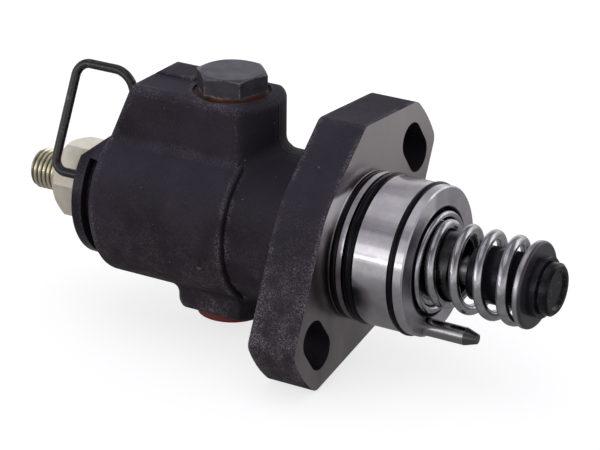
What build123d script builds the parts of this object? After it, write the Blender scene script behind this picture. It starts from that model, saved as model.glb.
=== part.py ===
"""Single-cylinder plug-in diesel injection pump: cast body, plunger unit, delivery valve and seals.

Millimetres. X runs along the plunger axis, from the delivery union towards the plunger foot,
Z is up and the origin lies on the axis in the ground mounting face of the flange.
"""
import math
import os

from build123d import *

# ---------------------------------------------------------------- clearances
RUNNING_GAP = 0.05          # turning and sliding fits, radial
LOCATION_GAP = 0.10         # parts that are placed once and clamped, radial
LOOSE_GAP = 0.35            # moving parts that never touch
SEAL_GAP = 0.02             # rubber rings against the walls that hold them

# ---------------------------------------------------------------- body casting, along the axis
FLANGE_THICKNESS = 15.0
NECK_LENGTH = 17.7
BODY_LENGTH = 45.8
GROOVE_WIDTH = 3.0
END_DISC_THICKNESS = 3.2
BODY_RADIUS = 23.5
NECK_STEP = 1.7              # the neck is this much smaller in radius
BODY_SHOULDER = 2.5
BODY_SHOULDER_DROP = 2.9
END_DISC_DROP = 3.3
GROOVE_DEPTH = 2.9
END_FLAT_DROP = 9.8          # top of the cast end below the barrel's top, at the end face
END_SLOPE_DROP = 3.2         # and where the slope meets the boss
GROOVE_TOP_DROP = 9.9
MOUTH_RADIUS = 13.6
MOUTH_DEPTH = 2.7

# ---------------------------------------------------------------- flange
FLANGE_DISC_RADIUS = 27.5
LOBE_REACH = 43.3
LOBE_CORNER_RADIUS = 4.0
LOBE_DIRECTION = 38.5        # degrees above +Y of the line through both ears
LOBE_SPREAD = 63.0           # from that line to the normals of the straight sides
SHOULDER_CENTRE = (-0.4, 32.0)   # Y and Z of the round corner of the raised shoulder
SHOULDER_CORNER_RADIUS = 3.0
SLOT_DIRECTION = 36.5
SLOT_CENTRE_RADIUS = 33.3
SLOT_WIDTH = 10.6
SLOT_LENGTH = 17.0
CAST_EDGE_RADIUS = 1.0

# ---------------------------------------------------------------- upper and lower bosses
PORT_STATION = -43.5
BOSS_RADIUS = 15.2
BOSS_HALF_WIDTH = 12.0
UPPER_BOSS_TOP = 36.8
UPPER_BOSS_FOOT = -77.0      # where the slanted end meets the slope
UPPER_BOSS_LEAN = 7.3        # how far the slanted end leans in over its height
LOWER_BOSS_BOTTOM = -27.5
BOSS_EDGE_RADIUS = 2.0
NECK_BLEND_RADIUS = 4.0      # cast corners between the bosses and the neck
BODY_BLEND_RADIUS = 3.0      # and between the bosses and the barrel of the body
FLANGE_BLEND_RADIUS = 2.0
PORT_BORE_RADIUS = 7.0
PORT_BORE_FLOOR = 16.5
PORT_PASSAGE_RADIUS = 2.5
SPOT_FACE_RADIUS = 11.0
SPOT_FACE_DEPTH = 0.7

# ---------------------------------------------------------------- pilot spigot
PILOT_RADIUS = 21.0
PILOT_LENGTH = 22.2
PILOT_CHAMFER = 0.4
FLANGE_RING_START = 0.2
FLANGE_RING_CORD = 1.9
MIDDLE_RING_START = 3.7
MIDDLE_RING_CORD = 3.4
MIDDLE_RING_PROUD = 0.35
FRONT_RING_CORD = 1.9
FRONT_RING_PROUD = 0.5
FRONT_LAND = 2.7
RING_SIDE_GAP = 0.05
RECESS_RADIUS = 15.3
RECESS_DEPTH = 4.2
CHAMBER_RADIUS = 10.6
CHAMBER_END = -3.0
WINDOW_WIDTH = 6.0
WINDOW_HALF_ANGLE = 31.0

# ---------------------------------------------------------------- barrel and its bore in the body
BARREL_RADIUS = 8.9
BARREL_HEAD_RADIUS = 11.0
BARREL_HEAD_LENGTH = 6.0
BARREL_SHOULDER = -48.0
BARREL_STEP = -2.0
BARREL_NOSE_RADIUS = 7.85
BARREL_NOSE_LENGTH = 11.0
GALLERY_RADIUS = 12.0
GALLERY_WIDTH = 6.0
SPILL_PORT_RADIUS = 1.5
BARREL_SEAL_STATION = -30.0
BARREL_SEAL_CORD = 1.6
LOCATING_PIN_RADIUS = 1.25
LOCATING_PIN_LENGTH = 5.0
LOCATING_PIN_ANGLE = 45.0

# ---------------------------------------------------------------- plunger unit
PLUNGER_RADIUS = 4.5
PLUNGER_TOP = -41.4
PLUNGER_STROKE = 10.0
RELIEF_RADIUS = 3.4
RELIEF_END = 12.0            # from the plunger top
CONTROL_EDGE_HIGH = 2.5      # from the plunger top, at the groove
CONTROL_EDGE_LOW = 8.5
TOP_GROOVE_WIDTH = 2.0
TOP_GROOVE_DEPTH = 1.3
VANE_SPAN = 17.6
VANE_WIDTH = 4.0
VANE_LENGTH = 4.0
PLUNGER_TAIL_LENGTH = 8.0    # inside the foot
FOOT_HUB_RADIUS = 7.8
FOOT_HUB_LENGTH = 17.9
FOOT_COLLAR_RADIUS = 8.4
FOOT_COLLAR_LENGTH = 3.2
FOOT_NECK_DEPTH = 0.8
FOOT_NECK_WIDTH = 0.6
FOOT_PAD_RADIUS = 7.3
FOOT_PAD_LENGTH = 2.5
FOOT_DISH_RADIUS = 5.4
FOOT_DISH_DEPTH = 0.7
PLATE_RADIUS = 12.1
PLATE_THICKNESS = 2.4
PLATE_RIM_RADIUS = 0.9

# ---------------------------------------------------------------- plunger spring and its upper seat
SPRING_LENGTH = 30.4
SPRING_MEAN_RADIUS = 10.95
SPRING_WIRE = 2.5
SPRING_PITCH = 7.1
SPRING_CLOSED_PITCH = 2.65
SEAT_RADIUS = 13.8
SEAT_HEIGHT = 5.3
SEAT_WALL = 1.2
SEAT_BASE = 1.5
SEAT_HOLE_RADIUS = 9.75
SEAT_RIM_RADIUS = 0.5

# ---------------------------------------------------------------- control sleeve and arm
SLEEVE_RADIUS = 9.3
SLEEVE_START = -1.6
SLEEVE_REACH = 11.3           # past the recess floor
SLEEVE_COLLAR_RADIUS = 10.2
SLEEVE_COLLAR_LENGTH = 8.5
SLEEVE_SLOT_START = 13.6
SLEEVE_SLOT_LAND = 1.0
ARM_INSET = 5.6              # behind the recess floor
ARM_SHANK_RADIUS = 1.5
ARM_SEAT_DEPTH = 0.9
ARM_BALL_RADIUS = 2.4
ARM_REACH = 17.6

# ---------------------------------------------------------------- guide pin
GUIDE_PIN_RADIUS = 2.5
GUIDE_PIN_LENGTH = 15.8
GUIDE_PIN_TAPER = 3.5
GUIDE_PIN_TIP_RADIUS = 1.4
GUIDE_PIN_SHANK_RADIUS = 1.5
GUIDE_PIN_SHANK_LENGTH = 9.0
GUIDE_PIN_CENTRE_RADIUS = 17.9
GUIDE_PIN_ANGLE = -110.0

# ---------------------------------------------------------------- delivery valve group
VALVE_SEAT_RADIUS = 9.0
VALVE_SEAT_FLANGE = 4.0
VALVE_NECK_RADIUS = 6.2
VALVE_NECK_LENGTH = 6.0
VALVE_BORE_RADIUS = 3.0
VALVE_LIFT = 3.0
VALVE_HEAD_RADIUS = 4.2
VALVE_HEAD_LENGTH = 2.4
VALVE_HEAD_RIM = 0.9
VALVE_PEG_RADIUS = 1.7
VALVE_PEG_LENGTH = 3.4
VALVE_GUIDE_LENGTH = 8.0
VALVE_FLUTE_WIDTH = 2.4
VALVE_FLUTE_DEPTH = 1.0
VALVE_SPRING_RADIUS = 2.75
VALVE_SPRING_WIRE = 0.9
VALVE_SPRING_PITCH = 2.1
GASKET_THICKNESS = 1.5

# ---------------------------------------------------------------- delivery valve holder
HOLDER_NOSE_RADIUS = 11.0
HOLDER_NOSE_LENGTH = 2.5
HOLDER_SHANK_RADIUS = 12.9
HOLDER_SHANK_LENGTH = 21.0
HOLDER_CAVITY_RADIUS = 7.0
HOLDER_CAVITY_DEPTH = 16.5
HOLDER_HEX = 21.0            # across flats
HOLDER_HEX_LENGTH = 15.8
HOLDER_HEX_TURN = 36.7
HOLDER_HEX_BEVEL_START = 13.6
HOLDER_HEX_END_RADIUS = 9.8
HOLDER_SEAL_CORD = 1.8
HOLDER_SEAL_STATION = -78.5
UNION_THREAD_RADIUS = 6.0
UNION_THREAD_LENGTH = 9.7
UNION_RELIEF_RADIUS = 5.1
UNION_RELIEF_LENGTH = 1.2
UNION_BORE_RADIUS = 1.6
UNION_CONE_RADIUS = 4.2
UNION_CONE_DEPTH = 4.5
UNION_CHAMFER = 0.9

# ---------------------------------------------------------------- port fittings
PLUG_HEX = 18.0              # across flats
PLUG_HEX_TURN = 13.7
PLUG_HEAD_HEIGHT = 5.2
PLUG_BEVEL = 0.9
PLUG_SHANK_RADIUS = 6.9
PLUG_SHANK_LENGTH = 16.0
WASHER_RADIUS = 9.2
WASHER_THICKNESS = 1.4
CAP_FLANGE_RADIUS = 10.0
CAP_FLANGE_THICKNESS = 2.2
CAP_BODY_RADIUS = 6.85
CAP_BODY_LENGTH = 8.0
CAP_WALL = 1.3

# ---------------------------------------------------------------- wire clip
CLIP_WIRE_RADIUS = 1.35
CLIP_LEG = (-14.5, 7.2)      # Y and Z of the leg that enters the end face
CLIP_CROSS_STATION = -94.6
CLIP_TOP = (-3.0, 36.8)      # Y and Z of the upper leg
CLIP_TOP_STATION = -93.0     # the far side leans in towards the casting
CLIP_BEND_STATION = -75.6    # corner above the hooked end
CLIP_HOOK = (-72.8, -3.0, 25.0)
CLIP_HOLE_DEPTH = 2.8
CLIP_BEND_RADII = (3.8, 4.2, 6.0)

# ---------------------------------------------------------------- stations that follow from the above
NECK_START = -FLANGE_THICKNESS
BODY_START = NECK_START - NECK_LENGTH
BODY_END = BODY_START - BODY_LENGTH
GROOVE_END = BODY_END - GROOVE_WIDTH
END_FACE = GROOVE_END - END_DISC_THICKNESS
NECK_RADIUS = BODY_RADIUS - NECK_STEP
BODY_SHOULDER_RADIUS = BODY_RADIUS - BODY_SHOULDER_DROP
END_DISC_RADIUS = BODY_RADIUS - END_DISC_DROP
GROOVE_FLOOR_RADIUS = END_DISC_RADIUS - GROOVE_DEPTH
END_FLAT_HEIGHT = BODY_RADIUS - END_FLAT_DROP
END_SLOPE_HEIGHT = BODY_RADIUS - END_SLOPE_DROP
GROOVE_TOP = BODY_RADIUS - GROOVE_TOP_DROP
RECESS_FLOOR = PILOT_LENGTH - RECESS_DEPTH
FRONT_RING_START = PILOT_LENGTH - FRONT_LAND - FRONT_RING_CORD - 2 * RING_SIDE_GAP
ARM_STATION = RECESS_FLOOR - ARM_INSET
WINDOW_START = ARM_STATION - WINDOW_WIDTH / 2
SEAT_FLOOR = RECESS_FLOOR + SEAT_BASE
PLATE_BACK = SEAT_FLOOR + SPRING_LENGTH
PLATE_FACE = PLATE_BACK + PLATE_THICKNESS
SLEEVE_END = RECESS_FLOOR + SLEEVE_REACH
BARREL_TOP = BARREL_SHOULDER - BARREL_HEAD_LENGTH
BARREL_END = BARREL_STEP + BARREL_NOSE_LENGTH
VALVE_NECK_START = BARREL_TOP - VALVE_SEAT_FLANGE
VALVE_SEAT_TOP = VALVE_NECK_START - VALVE_NECK_LENGTH
VALVE_HEAD_TOP = VALVE_SEAT_TOP - VALVE_HEAD_LENGTH
GASKET_TOP = VALVE_NECK_START - GASKET_THICKNESS
HOLDER_SHANK_START = GASKET_TOP - HOLDER_NOSE_LENGTH
HOLDER_HEX_START = HOLDER_SHANK_START - HOLDER_SHANK_LENGTH
HOLDER_HEX_END = HOLDER_HEX_START - HOLDER_HEX_LENGTH
HOLDER_CAVITY_END = GASKET_TOP - HOLDER_CAVITY_DEPTH
UNION_START = HOLDER_HEX_END - UNION_RELIEF_LENGTH
UNION_END = UNION_START - UNION_THREAD_LENGTH
FOOT_HUB_START = PLATE_FACE - FOOT_HUB_LENGTH
COLLAR_END = PLATE_FACE + FOOT_COLLAR_LENGTH
FOOT_END = COLLAR_END + FOOT_PAD_LENGTH
SLEEVE_COLLAR_END = RECESS_FLOOR - RUNNING_GAP
SLEEVE_SLOT_END = SLEEVE_END - SLEEVE_SLOT_LAND
VANE_END = SLEEVE_SLOT_END - LOOSE_GAP
VANE_START = VANE_END - VANE_LENGTH
SPOT_FACE_HEIGHT = UPPER_BOSS_TOP - SPOT_FACE_DEPTH
PLUG_HEAD_BASE = SPOT_FACE_HEIGHT + WASHER_THICKNESS
FIT_BORE_RADIUS = BARREL_RADIUS + LOCATION_GAP
HEAD_BORE_RADIUS = BARREL_HEAD_RADIUS + LOCATION_GAP
THREAD_BORE_RADIUS = HOLDER_SHANK_RADIUS + LOCATION_GAP
FAR = 100.0                  # longer than anything it cuts


# ---------------------------------------------------------------- helpers
def turned(*corners):
    """Solid of revolution about X from (x, radius) corners."""
    outline = Polyline([(x, r, 0) for x, r in corners], close=True)
    return revolve(make_face(outline), axis=Axis.X)


def rod(start, end, radius):
    """Round bar on the pump axis."""
    return turned((start, 0), (start, radius), (end, radius), (end, 0))


def tube(start, end, inner, outer):
    """Round sleeve on the pump axis."""
    return turned((start, inner), (start, outer), (end, outer), (end, inner))


def block(x0, x1, y0, y1, z0, z1):
    """Square block between two corners."""
    size = (x1 - x0, y1 - y0, z1 - z0)
    centre = ((x0 + x1) / 2, (y0 + y1) / 2, (z0 + z1) / 2)
    return Pos(*centre) * Box(*size)


def upright(x, z0, z1, radius):
    """Round bar parallel to Z, centred in Y."""
    return Pos(x, 0, (z0 + z1) / 2) * Cylinder(radius, z1 - z0)


def lengthwise(x0, x1, y, z, radius):
    """Round bar parallel to X through (y, z)."""
    return Pos((x0 + x1) / 2, y, z) * Rot(0, 90, 0) * Cylinder(radius, x1 - x0)


def ring(x, mean_radius, cord):
    """Round-section ring about X."""
    return Pos(x, 0, 0) * Rot(0, 90, 0) * Torus(mean_radius, cord / 2)


def polar(radius, degrees):
    """Y and Z of a point on a circle about the pump axis."""
    angle = math.radians(degrees)
    return radius * math.cos(angle), radius * math.sin(angle)


def cross_section(x):
    """Sketch plane across the pump axis, its own axes along Y and Z."""
    return Plane(origin=(x, 0, 0), x_dir=(0, 1, 0), z_dir=(1, 0, 0))


def side_view(y):
    """Sketch plane along the pump axis, its own axes along X and Z."""
    return Plane(origin=(0, y, 0), x_dir=(1, 0, 0), z_dir=(0, -1, 0))


def seal_gap_radius(bore_radius, cord):
    """Mean radius of a ring that just clears the bore round it."""
    return bore_radius - SEAL_GAP - cord / 2


def groove_for(x, mean_radius, cord):
    """Square groove that holds a round ring, open outwards."""
    half = cord / 2 + SEAL_GAP
    return tube(x - half, x + half, mean_radius - half, mean_radius + cord)


def hexagon(across_flats, start, end, degrees):
    """Hexagon bar along Z."""
    sketch = RegularPolygon(across_flats / 2, 6, major_radius=False)
    return extrude(Pos(0, 0, start) * Rot(0, 0, degrees) * sketch, end - start)


def wire_path(corners, radii):
    """Straight runs joined by round bends through a list of corners."""
    points = [Vector(*corner) for corner in corners]
    pieces = []
    run_start = points[0]
    for before, corner, after, radius in zip(points, points[1:], points[2:], radii):
        back = (before - corner).normalized()
        onward = (after - corner).normalized()
        half_angle = math.radians(back.get_angle(onward)) / 2
        reach = radius / math.tan(half_angle)
        middle = (back + onward).normalized()
        bend_start = corner + back * reach
        bend_end = corner + onward * reach
        crown = corner + middle * (radius / math.sin(half_angle) - radius)
        pieces.append(Line(run_start, bend_start))
        pieces.append(ThreePointArc(bend_start, crown, bend_end))
        run_start = bend_end
    pieces.append(Line(run_start, points[-1]))
    return Wire(pieces)


def coil(start, end, mean_radius, wire, pitch, closed_pitch):
    """Compression spring about X with one closed turn at each end, both ends ground flat."""
    first = start + LOOSE_GAP
    last = end - LOOSE_GAP
    open_turns = (last - first - 2 * closed_pitch) / pitch
    turns = open_turns + 2
    steps = math.ceil(turns * 12)
    points = []
    for i in range(steps + 1):
        turn = turns * i / steps
        opened = min(max(turn - 1, 0), open_turns)
        x = first + closed_pitch * (turn - opened) + pitch * opened
        points.append((x, *polar(mean_radius, 360 * turn)))
    path = Spline(*points)
    section = Plane(origin=path @ 0, z_dir=path % 0) * Circle(wire / 2)
    bar = sweep(section, path=path)
    outside = mean_radius + wire
    return bar & rod(start, end, outside)


# ---------------------------------------------------------------- body casting
def flange_lobe():
    """One ear of the flange, pointing along its own +Y."""
    side = math.sqrt(LOBE_REACH**2 - FLANGE_DISC_RADIUS**2)
    foot = polar(FLANGE_DISC_RADIUS, LOBE_SPREAD)
    tangent = polar(side, LOBE_SPREAD - 90)
    tip = (foot[0] + tangent[0], foot[1] + tangent[1])
    outline = [
        Line((0, 0), foot),
        Line(foot, tip),
        ThreePointArc(tip, (LOBE_REACH, 0), (tip[0], -tip[1])),
        Line((tip[0], -tip[1]), (foot[0], -foot[1])),
        Line((foot[0], -foot[1]), (0, 0)),
    ]
    face = make_face(Wire(outline))
    corners = face.vertices().filter_by(lambda v: v.X > foot[0] + 1)
    return fillet(corners, LOBE_CORNER_RADIUS)


def flange_outline():
    """Disc with two ears, and a hull round the disc, the upper ear's corner and the shoulder."""
    lobe = flange_lobe()
    corner_radius = LOBE_REACH - LOBE_CORNER_RADIUS
    normal_turn = math.degrees(
        math.acos((FLANGE_DISC_RADIUS - LOBE_CORNER_RADIUS) / corner_radius)
    )
    corner = polar(corner_radius, LOBE_DIRECTION + LOBE_SPREAD - normal_turn)
    hulled = Sketch() + Circle(FLANGE_DISC_RADIUS)
    hulled += Pos(*corner) * Circle(LOBE_CORNER_RADIUS)
    hulled += Pos(*SHOULDER_CENTRE) * Circle(SHOULDER_CORNER_RADIUS)
    outline = make_hull(hulled.edges())
    for turn in (LOBE_DIRECTION, LOBE_DIRECTION + 180):
        outline += Rot(0, 0, turn) * lobe
    return outline


def flange():
    """Rhombic flange with one raised shoulder and two slots."""
    plate = extrude(cross_section(NECK_START) * flange_outline(), FLANGE_THICKNESS)
    back = plate.faces().sort_by(Axis.X)[0]
    plate = fillet(back.outer_wire().edges(), CAST_EDGE_RADIUS)
    slot = SlotOverall(SLOT_LENGTH, SLOT_WIDTH)
    for turn in (SLOT_DIRECTION, SLOT_DIRECTION + 180):
        place = Rot(0, 0, turn) * Pos(SLOT_CENTRE_RADIUS, 0) * Rot(0, 0, 90)
        plate -= extrude(cross_section(NECK_START) * place * slot, FLANGE_THICKNESS)
    return plate


def turned_body():
    """Outside of the casting that is round about the axis."""
    body = turned(
        (END_FACE, 0),
        (END_FACE, END_DISC_RADIUS),
        (GROOVE_END, END_DISC_RADIUS),
        (BODY_END, BODY_SHOULDER_RADIUS),
        (BODY_END + BODY_SHOULDER, BODY_RADIUS),
        (BODY_START, BODY_RADIUS),
        (BODY_START, NECK_RADIUS),
        (NECK_START + 1, NECK_RADIUS),
        (NECK_START + 1, 0),
    )
    rims = body.edges().filter_by(GeomType.CIRCLE)
    body = fillet(rims.filter_by(lambda e: abs(e.radius - BODY_RADIUS) < 0.01), CAST_EDGE_RADIUS)
    flare_start = NECK_START - FLANGE_BLEND_RADIUS
    flare_radius = NECK_RADIUS + FLANGE_BLEND_RADIUS
    flare = tube(flare_start, NECK_START, NECK_RADIUS - 1, flare_radius)
    body += flare - ring(flare_start, flare_radius, 2 * FLANGE_BLEND_RADIUS)
    groove = tube(GROOVE_END, BODY_END, GROOVE_FLOOR_RADIUS, FAR)
    groove -= block(GROOVE_END, BODY_END, -FAR, FAR, GROOVE_TOP, FAR)
    body -= groove
    slope = Polyline(
        [
            (END_FACE, END_FLAT_HEIGHT),
            (UPPER_BOSS_FOOT, END_SLOPE_HEIGHT),
            (UPPER_BOSS_FOOT, FAR),
            (END_FACE, FAR),
        ],
        close=True,
    )
    return body - extrude(side_view(0) * make_face(slope), BODY_RADIUS, both=True)


def boss_outline(left_end):
    """Top view of a boss: flat sides, and a round end about the port axis towards the flange."""
    corner_x = PORT_STATION + math.sqrt(BOSS_RADIUS**2 - BOSS_HALF_WIDTH**2)
    near, far = -BOSS_HALF_WIDTH, BOSS_HALF_WIDTH
    round_end = ThreePointArc((corner_x, near), (PORT_STATION + BOSS_RADIUS, 0), (corner_x, far))
    face = make_face(
        Wire(
            [
                Line((left_end, near), (corner_x, near)),
                round_end,
                Line((corner_x, far), (left_end, far)),
                Line((left_end, far), (left_end, near)),
            ]
        )
    )
    return fillet(face.vertices().filter_by(lambda v: v.X > PORT_STATION), BOSS_EDGE_RADIUS)


def upper_boss():
    """Flat-sided boss with a slanted end and a round end about the port axis."""
    boss = extrude(boss_outline(UPPER_BOSS_FOOT), UPPER_BOSS_TOP)
    lean_top = UPPER_BOSS_FOOT + UPPER_BOSS_LEAN
    lean = Polyline(
        [
            (UPPER_BOSS_FOOT, END_SLOPE_HEIGHT),
            (lean_top, UPPER_BOSS_TOP),
            (UPPER_BOSS_FOOT, UPPER_BOSS_TOP),
        ],
        close=True,
    )
    boss -= extrude(side_view(0) * make_face(lean), BOSS_HALF_WIDTH, both=True)
    slanted = boss.faces().filter_by(Plane.XZ).edges().filter_by(
        lambda e: e.center().Z > END_SLOPE_HEIGHT and e.center().X < lean_top
    )
    boss = fillet(slanted, BOSS_EDGE_RADIUS)
    top = boss.faces().sort_by(Axis.Z)[-1]
    return fillet(top.edges(), BOSS_EDGE_RADIUS)


def lower_boss():
    """Short boss with flat sides and two round ends for the second port."""
    outline = boss_outline(PORT_STATION)
    outline += mirror(outline, Plane.YZ.offset(PORT_STATION))
    boss = extrude(outline, LOWER_BOSS_BOTTOM)
    bottom = boss.faces().sort_by(Axis.Z)[0]
    return fillet(bottom.edges(), BOSS_EDGE_RADIUS)


def blended(boss, core_radius, start, end, blend_radius):
    """The boss on a round core with a cast corner between them, from start to end."""
    joined = rod(start - 2 * BOSS_RADIUS, end + BOSS_RADIUS, core_radius) + boss
    corner = []
    for edge in joined.edges():
        points = [edge @ place for place in (0, 0.3, 0.7, 1)]
        on_core = all(abs(math.hypot(p.Y, p.Z) - core_radius) < 0.02 for p in points)
        if on_core and max(p.X for p in points) > PORT_STATION - 2:
            corner.append(edge)
    joined = fillet(corner, blend_radius)
    width = BOSS_HALF_WIDTH + blend_radius
    return joined & block(start, end, -width, width, -FAR, FAR)


def bosses():
    """Both bosses with their cast corners to barrel and neck of the body."""
    rim = 1.2 * CAST_EDGE_RADIUS
    start = BODY_END + BODY_SHOULDER + rim
    step = BODY_START - rim
    end = NECK_START - FLANGE_BLEND_RADIUS
    solid = Part()
    for boss in (upper_boss(), lower_boss()):
        solid += boss
        solid += blended(boss, BODY_RADIUS, start, step, BODY_BLEND_RADIUS)
        solid += blended(boss, NECK_RADIUS, step, end, NECK_BLEND_RADIUS)
    return solid


def pilot_rings():
    """Start, cord and outside radius of each rubber ring on the pilot."""
    return {
        "flange": (FLANGE_RING_START, FLANGE_RING_CORD, PILOT_RADIUS - SEAL_GAP),
        "middle": (MIDDLE_RING_START, MIDDLE_RING_CORD, PILOT_RADIUS + MIDDLE_RING_PROUD),
        "front": (FRONT_RING_START, FRONT_RING_CORD, PILOT_RADIUS + FRONT_RING_PROUD),
    }


def seal_groove(start, cord, outside):
    """Square groove in the pilot for one rubber ring."""
    width = cord + 2 * RING_SIDE_GAP
    return tube(start, start + width, outside - cord - SEAL_GAP, FAR)


def pilot():
    """Ground spigot that enters the engine, with three ring grooves."""
    spigot = turned(
        (-1, 0),
        (-1, PILOT_RADIUS),
        (PILOT_LENGTH - PILOT_CHAMFER, PILOT_RADIUS),
        (PILOT_LENGTH, PILOT_RADIUS - PILOT_CHAMFER),
        (PILOT_LENGTH, 0),
    )
    for sizes in pilot_rings().values():
        spigot -= seal_groove(*sizes)
    return spigot


def control_window():
    """Arc-shaped window in the pilot wall for the control arm."""
    wall = tube(WINDOW_START, WINDOW_START + WINDOW_WIDTH, CHAMBER_RADIUS - 1, PILOT_RADIUS + 1)
    reach = PILOT_RADIUS + BODY_RADIUS
    high = polar(reach, WINDOW_HALF_ANGLE)
    wedge = make_face(Polyline([(0, 0), high, (high[0], -high[1])], close=True))
    return wall & extrude(cross_section(WINDOW_START) * wedge, WINDOW_WIDTH)


def body_bores():
    """Everything bored out of the casting along the axis."""
    bores = rod(BARREL_SHOULDER, CHAMBER_END, FIT_BORE_RADIUS)
    bores += rod(HOLDER_SHANK_START, BARREL_SHOULDER, HEAD_BORE_RADIUS)
    bores += rod(END_FACE, HOLDER_SHANK_START, THREAD_BORE_RADIUS)
    bores += rod(END_FACE, END_FACE + MOUTH_DEPTH, MOUTH_RADIUS)
    bores += rod(CHAMBER_END, RECESS_FLOOR, CHAMBER_RADIUS)
    bores += rod(RECESS_FLOOR, PILOT_LENGTH, RECESS_RADIUS)
    half = GALLERY_WIDTH / 2
    bores += rod(PORT_STATION - half, PORT_STATION + half, GALLERY_RADIUS)
    return bores


def port_bores():
    """Threaded ports from both bosses down to the fuel gallery."""
    bores = upright(PORT_STATION, PORT_BORE_FLOOR, UPPER_BOSS_TOP, PORT_BORE_RADIUS)
    bores += upright(PORT_STATION, SPOT_FACE_HEIGHT, UPPER_BOSS_TOP, SPOT_FACE_RADIUS)
    bores += upright(PORT_STATION, LOWER_BOSS_BOTTOM, -PORT_BORE_FLOOR, PORT_BORE_RADIUS)
    bores += upright(PORT_STATION, -PORT_BORE_FLOOR, PORT_BORE_FLOOR, PORT_PASSAGE_RADIUS)
    return bores


def locating_pin_bar(radius):
    """Axial dowel between barrel head and casting."""
    y, z = polar(BARREL_HEAD_RADIUS, LOCATING_PIN_ANGLE)
    return lengthwise(BARREL_SHOULDER - LOCATING_PIN_LENGTH, BARREL_SHOULDER, y, z, radius)


def clip_corners():
    """Corners of the wire clip, from the end face round to the hooked end."""
    return [
        (END_FACE + CLIP_HOLE_DEPTH, *CLIP_LEG),
        (CLIP_CROSS_STATION, *CLIP_LEG),
        (CLIP_TOP_STATION, *CLIP_TOP),
        (CLIP_BEND_STATION, *CLIP_TOP),
        CLIP_HOOK,
    ]


def clip_bar(radius):
    """Round wire bent along the clip."""
    path = wire_path(clip_corners(), CLIP_BEND_RADII)
    section = Plane(origin=path @ 0, z_dir=path % 0) * Circle(radius)
    return sweep(section, path=path)


def clip_holes():
    """Holes in the casting that take both ends of the clip."""
    radius = CLIP_WIRE_RADIUS + RUNNING_GAP
    corners = clip_corners()
    leg_hole = lengthwise(END_FACE, END_FACE + CLIP_HOLE_DEPTH, *CLIP_LEG, radius)
    hook = Vector(*corners[-1])
    direction = (hook - Vector(*corners[-2])).normalized()
    hook_hole = Plane(origin=hook, z_dir=-direction) * Cylinder(
        radius, FAR / 10, align=(Align.CENTER, Align.CENTER, Align.MIN)
    )
    return leg_hole + hook_hole


def guide_pin_hole():
    """Hole in the pilot face for the guide pin."""
    y, z = polar(GUIDE_PIN_CENTRE_RADIUS, GUIDE_PIN_ANGLE)
    start = PILOT_LENGTH - GUIDE_PIN_SHANK_LENGTH
    return lengthwise(start, PILOT_LENGTH, y, z, GUIDE_PIN_SHANK_RADIUS)


def housing():
    """Cast body with flange, bosses and pilot in one piece."""
    body = turned_body() + bosses()
    body += flange()
    body += pilot()
    body -= body_bores()
    body -= port_bores()
    body -= control_window()
    body -= locating_pin_bar(LOCATING_PIN_RADIUS + RUNNING_GAP)
    body -= clip_holes()
    body -= guide_pin_hole()
    return body


# ---------------------------------------------------------------- barrel group
def barrel():
    """Pump barrel with its head, spill ports, ring groove and guiding nose."""
    sleeve = turned(
        (BARREL_TOP, 0),
        (BARREL_TOP, BARREL_HEAD_RADIUS),
        (BARREL_SHOULDER, BARREL_HEAD_RADIUS),
        (BARREL_SHOULDER, BARREL_RADIUS),
        (BARREL_STEP, BARREL_RADIUS),
        (BARREL_STEP, BARREL_NOSE_RADIUS),
        (BARREL_END, BARREL_NOSE_RADIUS),
        (BARREL_END, 0),
    )
    sleeve -= rod(BARREL_TOP, BARREL_END, PLUNGER_RADIUS + RUNNING_GAP)
    sleeve -= upright(PORT_STATION, -BARREL_RADIUS, BARREL_RADIUS, SPILL_PORT_RADIUS)
    mean = seal_gap_radius(FIT_BORE_RADIUS, BARREL_SEAL_CORD)
    sleeve -= groove_for(BARREL_SEAL_STATION, mean, BARREL_SEAL_CORD)
    sleeve -= locating_pin_bar(LOCATING_PIN_RADIUS + RUNNING_GAP)
    return sleeve


def barrel_o_ring():
    """Ring that keeps fuel above the lower barrel fit."""
    mean = seal_gap_radius(FIT_BORE_RADIUS, BARREL_SEAL_CORD)
    return ring(BARREL_SEAL_STATION, mean, BARREL_SEAL_CORD)


# ---------------------------------------------------------------- plunger group
def plunger():
    """Plunger with slanted control edge, top groove, relief and cross vane."""
    tail = FOOT_HUB_START + PLUNGER_TAIL_LENGTH
    bar = rod(PLUNGER_TOP, tail, PLUNGER_RADIUS)
    edge_high = PLUNGER_TOP + CONTROL_EDGE_HIGH
    edge_low = PLUNGER_TOP + CONTROL_EDGE_LOW
    relief_end = PLUNGER_TOP + RELIEF_END
    relief = Polyline(
        [
            (edge_high, PLUNGER_RADIUS),
            (relief_end, PLUNGER_RADIUS),
            (relief_end, -PLUNGER_RADIUS),
            (edge_low, -PLUNGER_RADIUS),
        ],
        close=True,
    )
    wedge = extrude(side_view(0) * make_face(relief), PLUNGER_RADIUS, both=True)
    bar -= wedge & tube(edge_high, relief_end, RELIEF_RADIUS, PLUNGER_RADIUS + 1)
    half = TOP_GROOVE_WIDTH / 2
    floor = PLUNGER_RADIUS - TOP_GROOVE_DEPTH
    bar -= block(PLUNGER_TOP, edge_high + 1, -half, half, floor, PLUNGER_RADIUS)
    reach = VANE_SPAN / 2
    width = VANE_WIDTH / 2
    vane = block(VANE_START, VANE_END, -reach, reach, -width, width)
    return bar + (vane & rod(VANE_START, VANE_END, reach))


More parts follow.
